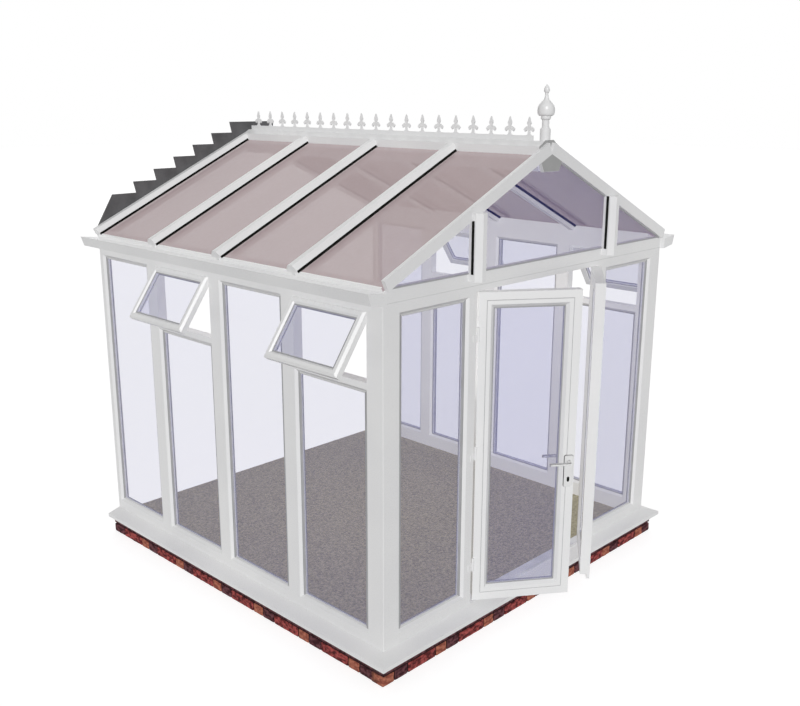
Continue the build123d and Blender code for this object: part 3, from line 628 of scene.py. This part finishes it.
class CONSERVATORY_OT_roof(bpy.types.Operator):
    """Glazes the roof, and lays the black seals, end caps and white edge trims on it"""

    bl_idname = "conservatory.roof"
    bl_label = "Roof glazing and trim"

    def execute(self, context):
        s = settings("roof")
        paint(roof_glazing(), "roof_panels")
        rubber, plastic = black_rubber(), white_plastic()
        slope = math.tan(s.pitch)
        seals, spar_seals, caps, trims = [], [], [], []
        for side in (-1, 1):
            down = np.array([side * math.cos(s.pitch), 0, -math.sin(s.pitch)])
            out = np.array([side * math.sin(s.pitch), 0, math.cos(s.pitch)])
            axes = np.stack([down, ALONG, out])
            panels = on_side(solids("roof_panels"), side)
            panel_lows, panel_highs = spans(panels, axes)
            top = panel_highs[0, 2]
            thick = top - panel_lows[0, 2]
            bars = on_side(solids("roof_bars"), side)
            lows, highs = spans(bars, axes)
            full = (highs[:, 1] - lows[:, 1]).max()
            # The seals start beside the ridge, on the plane of the glazing.
            apex = max((points[:, 2] + np.abs(points[:, 0]) * slope).max() for points in panels)
            start = np.array([side * s.ridge_half, 0, apex - s.ridge_half * slope]) @ down
            for points, low, high in zip(bars, lows, highs):
                # The bar at the open end is cut lengthways: no seal lies on that side, and its cap is cut too.
                wide = high[1] - low[1]
                cut = wide < full - TOUCH
                placed = points @ axes.T
                spar = placed[placed[:, 2] < top - thick - TOUCH]
                run = np.array([start, high[0]])[:, None] * down + top * out
                spar_run = np.array([start, spar[:, 0].max()])[:, None] * down + (top - thick) * out
                for outward, edge, spar_edge in ((-1, low[1], spar[:, 1].min()), (1, high[1], spar[:, 1].max())):
                    if outward > 0 and cut:
                        continue
                    seals.append(carried(self.seal(s), run + edge * ALONG, outward * ALONG, out))
                    spar_seals.append(carried(self.spar_seal(s), spar_run + spar_edge * ALONG, outward * ALONG, -out))
                outline = self.cap(s, full, high[2] - top)
                if cut:
                    outline = np.minimum(outline, (wide, np.inf))
                ends = np.array([high[0], high[0] + s.cap_thickness])[:, None] * down + top * out
                caps.append(carried(outline, ends + low[1] * ALONG, ALONG, out))
            for low, high in zip(panel_lows, panel_highs):
                ends = np.array([low[1], high[1]])[:, None] * ALONG + high[0] * down + top * out
                trims.append(carried(self.trim(s, thick), ends, down, out))
        lay("roof_bar_seals", seals, rubber, BUILDING)
        lay("roof_spar_seals", spar_seals, rubber, BUILDING)
        lay("roof_bar_end_caps", caps, plastic, BUILDING)
        white = s.trim_white
        bright = mottled("bright_plastic", white, white, patch=6, gloss=(0.2, 0.3), grain=260, depth=0.0001)
        lay("roof_edge_trims", trims, bright, BUILDING)
        return {"FINISHED"}

    def seal(self, s):
        """A bar seal's profile: a foot on the glazing and a flap up the bar's side, a little thicker at its root."""
        flap, foot, high = s.flap, s.rubber_foot, s.rubber_height
        root = (1.4 * flap, 0.3 * high)
        return [(0, 0), (foot, 0), (foot, flap), root, (flap, high), (0, high)]

    def spar_seal(self, s):
        """A spar seal's profile: a quarter of an ellipse in the corner between the spar and the glazing."""
        turns = np.linspace(0, math.pi / 2, ROUND_STEPS)
        bead = np.stack([np.cos(turns) * s.spar_share, np.sin(turns)], axis=1)
        return np.concatenate([[(0, 0)], s.spar_seal * bead])

    def cap(self, s, wide, high):
        """An end cap's outline: the bar's section above the glazing, with a narrow rim."""
        rim = s.cap_rim
        bevel_run, side_height = s.cap_bevel * wide, s.cap_side * high
        return [
            (-rim, 0),
            (-rim, side_height),
            (bevel_run - rim / 2, high + rim),
            (wide - bevel_run + rim / 2, high + rim),
            (wide + rim, side_height),
            (wide + rim, 0),
        ]

    def trim(self, s, thick):
        """An edge trim's profile: an angle that laps over the glazing and covers its lower edge."""
        lap, wall = s.trim_lap, s.trim_wall
        return [(-lap, 0), (-lap, wall), (wall, wall), (wall, -thick), (0, -thick), (0, 0)]


class CONSERVATORY_OT_gable(bpy.types.Operator):
    """Lays the gable bars' black seals, the gable glass's grey seals and a pale strip under the tie beam that paints
    the shadow line of its joint
    """

    bl_idname = "conservatory.gable"
    bl_label = "Gable trim"

    def execute(self, context):
        s = settings("roof")
        glass = np.concatenate(solids("gable_glass"))
        face = glass[:, 1].min()
        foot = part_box("gable_tie_beam")[1].z
        slope = math.tan(s.pitch)
        rafter = np.concatenate(solids("left_gable_rafter"))
        under = (rafter[:, 2] + np.abs(rafter[:, 0]) * slope).min()
        near, far, flap = s.gable_seal_near, s.gable_seal_far, s.flap
        profile = [(0, near), (flap, near + flap), (flap, far - flap), (0, far)]
        seals = []
        for points in solids("gable_bars"):
            for edge, outward in ((points[:, 0].min(), -1), (points[:, 0].max(), 1)):
                path = np.array([(edge, face, foot), (edge, face, under - abs(edge) * slope)])
                seals.append(carried(profile, path, outward * ACROSS, -ALONG))
        lay("gable_bar_seals", seals, black_rubber(), BUILDING)
        panes = settings("glass")
        strip = seal_profile(panes.wall_seal_width, panes.wall_seal)
        reach = (under - foot) / slope
        path = np.array([(-reach, face, foot), (reach, face, foot)])
        strips = [carried(strip, path, UP, -ALONG)]
        for side in (-1, 1):
            path = np.array([(side * reach, face, foot), (0, face, under)])
            inward = unit((-side * slope, 0, -1))
            strips.append(carried(strip, path, inward, -ALONG))
        lay("gable_seals", strips, grey_seal(), BUILDING)
        # A strip of the pale seal, darker than the frames, paints the shadow line of the joint under the tie beam.
        low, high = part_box("gable_tie_beam")
        path = np.array([(low.x, face, low.z), (high.x, face, low.z)])
        half = s.joint / 2
        joint = carried([(-half, 0), (-half, flap), (half, flap), (half, 0)], path, UP, -ALONG)
        lay("tie_beam_painted_shadow_line", [joint], pale_seal(), BUILDING)
        return {"FINISHED"}


class CONSERVATORY_OT_brickwork(bpy.types.Operator):
    """Builds the plinth of separate worn bricks around recessed mortar"""

    bl_idname = "conservatory.brickwork"
    bl_label = "Brickwork"

    def execute(self, context):
        s = settings("bricks")
        random = np.random.default_rng(s.seed)
        brick, mortar = self.brick_finish(s), self.mortar_finish(s)
        walls = {
            "front": (ACROSS, -ALONG, ("header", "closer", "stretcher")),
            "left": (ALONG, -ACROSS, ("closer", "header", "stretcher")),
            "right": (ALONG, ACROSS, ("closer", "header", "stretcher")),
        }
        for wall, (along, outward, pattern) in walls.items():
            low, high = (np.array(corner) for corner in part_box(wall + "_plinth"))
            start, end = low @ along, high @ along
            face = max(low @ outward, high @ outward)
            depth = face - min(low @ outward, high @ outward)
            origin = outward * face
            grids, tones = self.courses(s, random, start, end, high[2], depth, pattern)
            laid = [origin + g[..., :1] * along + g[..., 1:2] * outward + g[..., 2:] * UP for g in grids]
            bricks = lay(wall + "_bricks", laid, brick, BUILDING, smooth=True, tones=tones)
            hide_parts(wall + "_plinth")
            bed = s.recess
            section = [(-bed, 0), (-bed, high[2]), (-depth, high[2]), (-depth, 0)]
            path = origin + np.array([start + bed, end - bed])[:, None] * along
            core = lay(wall + "_mortar", [carried(section, path, outward, UP)], mortar, BUILDING)
            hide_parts(wall + "_plinth")
        return {"FINISHED"}

    def courses(self, s, random, start, end, top, depth, pattern):
        """The bricks of both courses and their tones. The lower course repeats the pattern, and the upper one is cut
        bricks in the darkest tone, which paints the shade under the sill. The last brick of a course reaches the wall's
        end."""
        lengths = {"stretcher": s.stretcher, "header": s.header, "closer": s.closer}
        shades = {"stretcher": 0.0, "header": 0.5, "closer": 1.0}
        grids, tones = [], []
        place, number = start, 0
        while place < end - s.joint:
            kind = pattern[number % len(pattern)]
            stop = min(place + lengths[kind], end)
            if end - stop < SHORTEST_BRICK * s.joint:
                stop = end
            grids.append(self.brick(s, random, place, stop - s.joint * (stop < end), 0, s.course, depth))
            tones.append(shades[kind])
            place, number = stop, number + 1
        place = start
        while place < end - s.joint:
            stop = min(place + s.stretcher, end)
            grids.append(self.brick(s, random, place, stop - s.joint * (stop < end), s.course + s.joint, top, depth))
            # Every brick of the upper course takes the darkest tone: painted shade under the sill.
            tones.append(1.0)
            place = stop
        return grids, tones

    def brick(self, s, random, left, right, bottom, top, depth):
        """A worn brick: a rounded section, depth by height, carried along the brick, drawn in at both ends by the
        rounding, with its outer face creased by the mean of a few random sine waves. Gives points as length, outwards
        and height."""
        round_by = s.rounding
        turns = np.linspace(0, math.pi / 2, ROUND_STEPS)
        arc, drawn = round_by * (1 - np.cos(turns)), round_by * (1 - np.sin(turns))
        rise = np.linspace(bottom + round_by, top - round_by, max(3, int((top - bottom) / BRICK_PITCH)))
        lower = np.stack([-drawn, bottom + arc], axis=1)
        front = np.stack([np.zeros_like(rise), rise], axis=1)[1:-1]
        upper = np.stack([-drawn, top - arc], axis=1)[::-1]
        back = np.array([(-depth, top), (-depth, bottom)])
        section = np.concatenate([lower, front, upper, back])
        run = np.linspace(left + round_by, right - round_by, max(4, int((right - left) / BRICK_PITCH)))
        stations = np.concatenate([left + arc[:-1], run, right - arc[-2::-1]])
        shrink = np.concatenate([drawn[:-1], np.zeros_like(run), drawn[-2::-1]])
        u, out = np.meshgrid(stations, section[:, 0], indexing="ij")
        v = np.broadcast_to(section[:, 1], u.shape)
        outer = np.clip(1 + section[:, 0] / round_by, 0, 1)
        waves = random.uniform(WAVE_LEAST, WAVE_MOST, (BRICK_WAVES, 3))
        waves[:, :2] *= random.choice((-1, 1), (BRICK_WAVES, 2))
        crease = np.sin(u[..., None] * waves[:, 0] + v[..., None] * waves[:, 1] + waves[:, 2]).mean(axis=2)
        creased = out - shrink[:, None] * outer + s.crease * (crease - FLUSH_WAVE) * outer
        return np.stack([u, np.minimum(creased, s.crease), v], axis=2)

    def brick_finish(self, s):
        """Fired brick: the brick's tone picks its fired and burn colours, slanting streaks mix and crease them, and
        grit dulls it. The streaks give the burn colour where they sink the relief, so that colour is partly the kiln's
        burn and partly painted shade in the creases."""
        material, tree, shader, place = new_finish("fired_brick")
        tone = tree.nodes.new("ShaderNodeAttribute")
        tone.attribute_name = "tone"
        fired, burnt_and_shade = (
            ramp(tree, tone.outputs["Fac"], list(zip((0.2, 0.5, 0.8), tones)))
            for tones in ((s.red, s.orange, s.purple), (s.red_burn_and_shade, s.orange_burn_and_shade, s.purple_burn_and_shade))
        )
        streaks = noise(tree, place, scale=30, detail=6, stretch=(1.0, 1.0, 1.6), slant=(0.7, -0.7, 0.0))
        mix = tree.nodes.new("ShaderNodeMix")
        mix.data_type = "RGBA"
        # Where the streaks sink the relief they pick the burn colour: partly the kiln's burn, partly painted shade in
        # the creases.
        tree.links.new(ramp(tree, streaks, [(0.40, (0, 0, 0)), (0.60, (1, 1, 1))]), mix.inputs["Factor"])
        tree.links.new(burnt_and_shade, mix.inputs["A"])
        tree.links.new(fired, mix.inputs["B"])
        tree.links.new(mix.outputs["Result"], shader.inputs["Base Color"])
        grit = noise(tree, place, scale=320, detail=6)
        tree.links.new(ranged(tree, grit, low=0.75, high=0.95), shader.inputs["Roughness"])
        shader.inputs["Specular IOR Level"].default_value = 0.1
        relief(tree, shader, streaks, strength=1.0, distance=0.02)
        return material

    def mortar_finish(self, s):
        """Sandy mortar, near-black: partly its own dark colour, partly painted shade in the recessed joints."""
        paler = toned(s.mortar, 1.35)
        dull = {"gloss": (0.85, 0.98), "Specular_IOR_Level": 0.1}
        return mottled("mortar", s.mortar, paler, patch=30, grain=420, depth=0.0015, **dull)


class CONSERVATORY_OT_floor(bpy.types.Operator):
    """Lays the carpet on the slab and finishes the slab"""

    bl_idname = "conservatory.floor"
    bl_label = "Carpet and slab"

    def execute(self, context):
        s = settings("floor")
        darker = toned(s.concrete, 0.8)
        cast = mottled("cast_concrete", darker, s.concrete, patch=5, gloss=(0.8, 0.95), grain=120, depth=0.001)
        paint(cast, "floor_slab")
        low, high = (np.array(corner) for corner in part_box("carpet"))
        carpet = lay("fitted_carpet", [self.pile(s, low, high)], self.carpet_finish(s), BUILDING)
        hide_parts("carpet")
        return {"FINISHED"}

    def pile(self, s, low, high):
        """The carpet: a section with a flat back and a top of random tuft heights, one height for each tuft of a grid,
        carried along the room."""
        random = np.random.default_rng(s.seed)
        x = np.linspace(low[0], high[0], int((high[0] - low[0]) / s.tuft))
        y = np.linspace(low[1], high[1], int((high[1] - low[1]) / s.tuft))
        heights = high[2] - s.tuft_height * random.random((len(y), len(x)))
        top = np.stack([np.broadcast_to(x, heights.shape), np.broadcast_to(y[:, None], heights.shape), heights], axis=2)
        corners = np.stack([np.full(len(y), high[0]), y, np.full(len(y), low[2])], axis=1)
        back = np.stack([corners, corners * (0, 1, 1) + (low[0], 0, 0)], axis=1)
        return np.concatenate([top, back], axis=1)

    def carpet_finish(self, s):
        """Twist-pile carpet: fine tufts mix light and dark yarn, broad patches show the lie of the pile."""
        material, tree, shader, place = new_finish("twist_pile")
        yarn = noise(tree, place, scale=62)
        lie = noise(tree, place, scale=1.6, detail=2)
        tree.links.new(ramp(tree, yarn, [(0.36, s.pile_shade), (0.62, s.pile)]), shader.inputs["Base Color"])
        tree.links.new(ranged(tree, lie, low=0.88, high=1.0), shader.inputs["Roughness"])
        shader.inputs["Sheen Weight"].default_value = 0.15
        relief(tree, shader, yarn, strength=1.0, distance=0.003)
        return material


class CONSERVATORY_OT_metalwork(bpy.types.Operator):
    """Finishes the door handles, the threshold and the lead flashing"""

    bl_idname = "conservatory.metalwork"
    bl_label = "Metalwork"

    def execute(self, context):
        s = settings("metal")
        tones = toned(s.silver, 0.94), s.silver
        fine = {"patch": 14, "grain": 500, "depth": 0.00006}
        paint(mottled("satin_metal", *tones, gloss=(0.3, 0.42), Metallic=0.15, **fine), "door_handle_plates")
        paint(mottled("bright_lever", *tones, gloss=(0.22, 0.3), Metallic=0.9, **fine), "door_lever")
        tones = toned(s.sill_metal, 0.8), s.sill_metal
        worn = {"patch": 8, "gloss": (0.3, 0.5), "grain": 300, "depth": 0.0001, "Metallic": 0.3}
        paint(mottled("worn_metal", *tones, **worn), "door_threshold")
        lead = {"patch": 7, "gloss": (0.5, 0.7), "grain": 60, "depth": 0.0012, "Metallic": 0.2}
        paint(mottled("weathered_lead", s.lead, s.lead_bloom, **lead), "stepped_flashing")
        return {"FINISHED"}


class CONSERVATORY_OT_doors(bpy.types.Operator):
    """Lays a raised flange around each door leaf with a grey strip just inside it that paints the shadow of a gap, and
    the handle plates' gaskets and shields
    """

    bl_idname = "conservatory.doors"
    bl_label = "Door trim"

    def execute(self, context):
        s = settings("doors")
        wide, high = s.flange_width, s.flange_height
        flange = [(0, 0), (0, high), (wide - high, high), (wide, 0)]
        # The grey strip just inside the flange paints the shadow of a gap along its edge.
        inner, rise = wide + s.painted_gap_shade, s.painted_gap_shade_rise
        painted_gap_shade = [(wide, 0), (wide, rise), (inner, rise), (inner, 0)]
        for door in DOORS:
            leaf = [np.concatenate(solids(door + "_frame"))]
            axes = leaf_axes(door)
            raised, lined = (rings(leaf, axes, profile, (1,)) for profile in (flange, painted_gap_shade))
            lay(door + "_flange", raised, white_plastic(), door, looped=True)
            lay(door + "_groove", lined, grey_seal(), door, looped=True)
        axes = leaf_axes(LEFT_DOOR)
        spindle = axes @ np.array(JOINTS["handle_turn"]["pos_m"])
        gaskets, shields = [], []
        for low, high in zip(*spans(solids("door_handle_plates"), axes)):
            side = math.copysign(1, (low + high)[2] / 2 - spindle[2])
            foot, face = (low[2], high[2]) if side > 0 else (high[2], low[2])
            middle = (low + high)[:2] / 2
            size = (high - low)[:2] + 2 * s.gasket_rim
            rim = middle + self.rounded(*size, s.plate_rounding + s.gasket_rim)
            gaskets.append(self.raised(rim, foot, foot + side * s.gasket_height, axes))
            keyhole = middle[0], spindle[1] - s.keyhole_drop
            shield = keyhole + self.rounded(s.keyhole_width, s.keyhole_height, s.keyhole_width / 2)
            shields.append(self.raised(shield, face - side * s.shield_root, face + side * s.shield_rise, axes))
        lay("handle_gaskets", gaskets, black_rubber(), LEFT_DOOR)
        lay("keyhole_shields", shields, black_rubber(), LEFT_DOOR)
        return {"FINISHED"}

    def rounded(self, wide, high, radius):
        """A rectangle's outline with rounded corners: a quarter turn of points about each corner's centre."""
        turns = np.linspace(0, 2 * math.pi, OUTLINE_POINTS, endpoint=False) + math.pi / OUTLINE_POINTS
        arms = np.stack([np.cos(turns), np.sin(turns)], axis=1)
        centres = np.sign(arms) * (wide / 2 - radius, high / 2 - radius)
        return centres + radius * arms

    def raised(self, outline, foot, top, axes):
        """An outline on a pane's axes carried straight outwards from one height to another."""
        path = np.array([foot, top])[:, None] * axes[2]
        return carried(outline, path, axes[0], axes[1])


class CONSERVATORY_OT_stage(bpy.types.Operator):
    """Sets the pale floor, the soft lights and the camera"""

    bl_idname = "conservatory.stage"
    bl_label = "Stage"

    def execute(self, context):
        s = settings("stage")
        self.floor(s)
        self.world(s, context.scene)
        turn_to = Matrix.Rotation(-s.heading, 4, "Z") @ Matrix.Rotation(math.pi / 2 - s.dip, 4, "X")
        turn_to = turn_to @ Matrix.Rotation(s.roll, 4, "Z")
        self.sun("key_light", s.key, s.key_spread, turn_to @ Matrix.Rotation(-s.key_tilt, 4, "X"))
        back = Matrix.Rotation(math.pi - s.heading, 4, "Z") @ Matrix.Rotation(s.fill_tilt, 4, "X")
        self.sun("fill_light", s.fill, s.fill_spread, back)
        room = self.light("room_light", "POINT", s.room, Matrix.Translation((0, 0, s.room_height)))
        room.shadow_soft_size = s.room_size
        lens = bpy.data.cameras.new("camera")
        lens.sensor_width, lens.sensor_fit, lens.lens = SENSOR_WIDTH, "HORIZONTAL", s.lens
        lens.clip_end = FAR_LIMIT
        camera = bpy.data.objects.new("camera", lens)
        camera.matrix_world = Matrix.Translation(Vector(s.camera_place)) @ turn_to
        context.scene.collection.objects.link(camera)
        context.scene.camera = camera
        context.scene.view_settings.view_transform = "Standard"
        return {"FINISHED"}

    def floor(self, s):
        """A flat square under the object, a hair below it."""
        edge, level = s.floor_size, -s.floor_drop
        corners = [(-edge, -edge, level), (edge, -edge, level), (edge, edge, level), (-edge, edge, level)]
        mesh = bpy.data.meshes.new("stage_floor")
        mesh.from_pydata(corners, [], [(0, 1, 2, 3)])
        soft = {"patch": 0.05, "gloss": (0.8, 0.9), "grain": 4, "depth": 0.0001}
        glow = {"Emission_Strength": s.floor_glow, "Emission_Color": (1, 1, 1, 1)}
        pale = mottled("pale_floor", toned(s.floor, 0.98), s.floor, **soft, **glow)
        mesh.materials.append(pale)
        ground = bpy.data.objects.new("stage_floor", mesh)
        bpy.context.scene.collection.objects.link(ground)
        ground.visible_diffuse = False

    def world(self, s, scene):
        """An even light all round, with a white backdrop where the camera looks past the object."""
        world = bpy.data.worlds.new("studio")
        world.use_nodes = True
        tree = world.node_tree
        tree.nodes.clear()
        output = tree.nodes.new("ShaderNodeOutputWorld")
        mix = tree.nodes.new("ShaderNodeMixShader")
        path = tree.nodes.new("ShaderNodeLightPath")
        even, backdrop = (tree.nodes.new("ShaderNodeBackground") for _ in range(2))
        even.inputs["Color"].default_value = (1, 1, 1, 1)
        even.inputs["Strength"].default_value = s.sky
        backdrop.inputs["Color"].default_value = (1, 1, 1, 1)
        backdrop.inputs["Strength"].default_value = s.backdrop
        tree.links.new(path.outputs["Is Camera Ray"], mix.inputs["Fac"])
        tree.links.new(even.outputs["Background"], mix.inputs[1])
        tree.links.new(backdrop.outputs["Background"], mix.inputs[2])
        tree.links.new(mix.outputs["Shader"], output.inputs["Surface"])
        scene.world = world

    def sun(self, name, strength, spread, placed):
        """A soft sun that shines the way its place looks."""
        self.light(name, "SUN", strength, placed).angle = spread

    def light(self, name, kind, strength, placed):
        """A soft light without shadows."""
        lamp = bpy.data.lights.new(name, kind)
        lamp.energy, lamp.use_shadow = strength, False
        holder = bpy.data.objects.new(name, lamp)
        holder.matrix_world = placed
        bpy.context.scene.collection.objects.link(holder)
        return lamp


GROUPS = {
    "frames": FrameSettings,
    "glass": GlassSettings,
    "roof": RoofSettings,
    "bricks": BrickSettings,
    "floor": FloorSettings,
    "metal": MetalSettings,
    "doors": DoorSettings,
    "stage": StageSettings,
}
OPERATORS = (
    CONSERVATORY_OT_frames,
    CONSERVATORY_OT_glass,
    CONSERVATORY_OT_roof,
    CONSERVATORY_OT_gable,
    CONSERVATORY_OT_brickwork,
    CONSERVATORY_OT_floor,
    CONSERVATORY_OT_metalwork,
    CONSERVATORY_OT_doors,
    CONSERVATORY_OT_stage,
)


class CONSERVATORY_PT_panel(bpy.types.Panel):
    """Lists the operators and their settings"""

    bl_idname = "CONSERVATORY_PT_panel"
    bl_label = "Conservatory"
    bl_space_type = "VIEW_3D"
    bl_region_type = "UI"
    bl_category = TAB

    def draw(self, context):
        for operator in OPERATORS:
            self.layout.operator(operator.bl_idname)
        for name, group in GROUPS.items():
            box = self.layout.box()
            for setting in group.__annotations__:
                box.prop(settings(name), setting)


def register():
    """Registers the settings, the operators and the panel."""
    for group in GROUPS.values():
        bpy.utils.register_class(group)
    for name, group in GROUPS.items():
        setattr(bpy.types.Scene, "conservatory_" + name, PointerProperty(type=group))
    for operator in OPERATORS:
        bpy.utils.register_class(operator)
    bpy.utils.register_class(CONSERVATORY_PT_panel)


def unregister():
    """Takes them out again."""
    bpy.utils.unregister_class(CONSERVATORY_PT_panel)
    for operator in reversed(OPERATORS):
        bpy.utils.unregister_class(operator)
    for name, group in GROUPS.items():
        delattr(bpy.types.Scene, "conservatory_" + name)
        bpy.utils.unregister_class(group)


def main():
    """Registers the settings, operators and panel, then lays every group of pieces in order."""
    register()
    for operator in OPERATORS:
        family, name = operator.bl_idname.split(".")
        getattr(getattr(bpy.ops, family), name)()


if __name__ == "__main__":
    main()
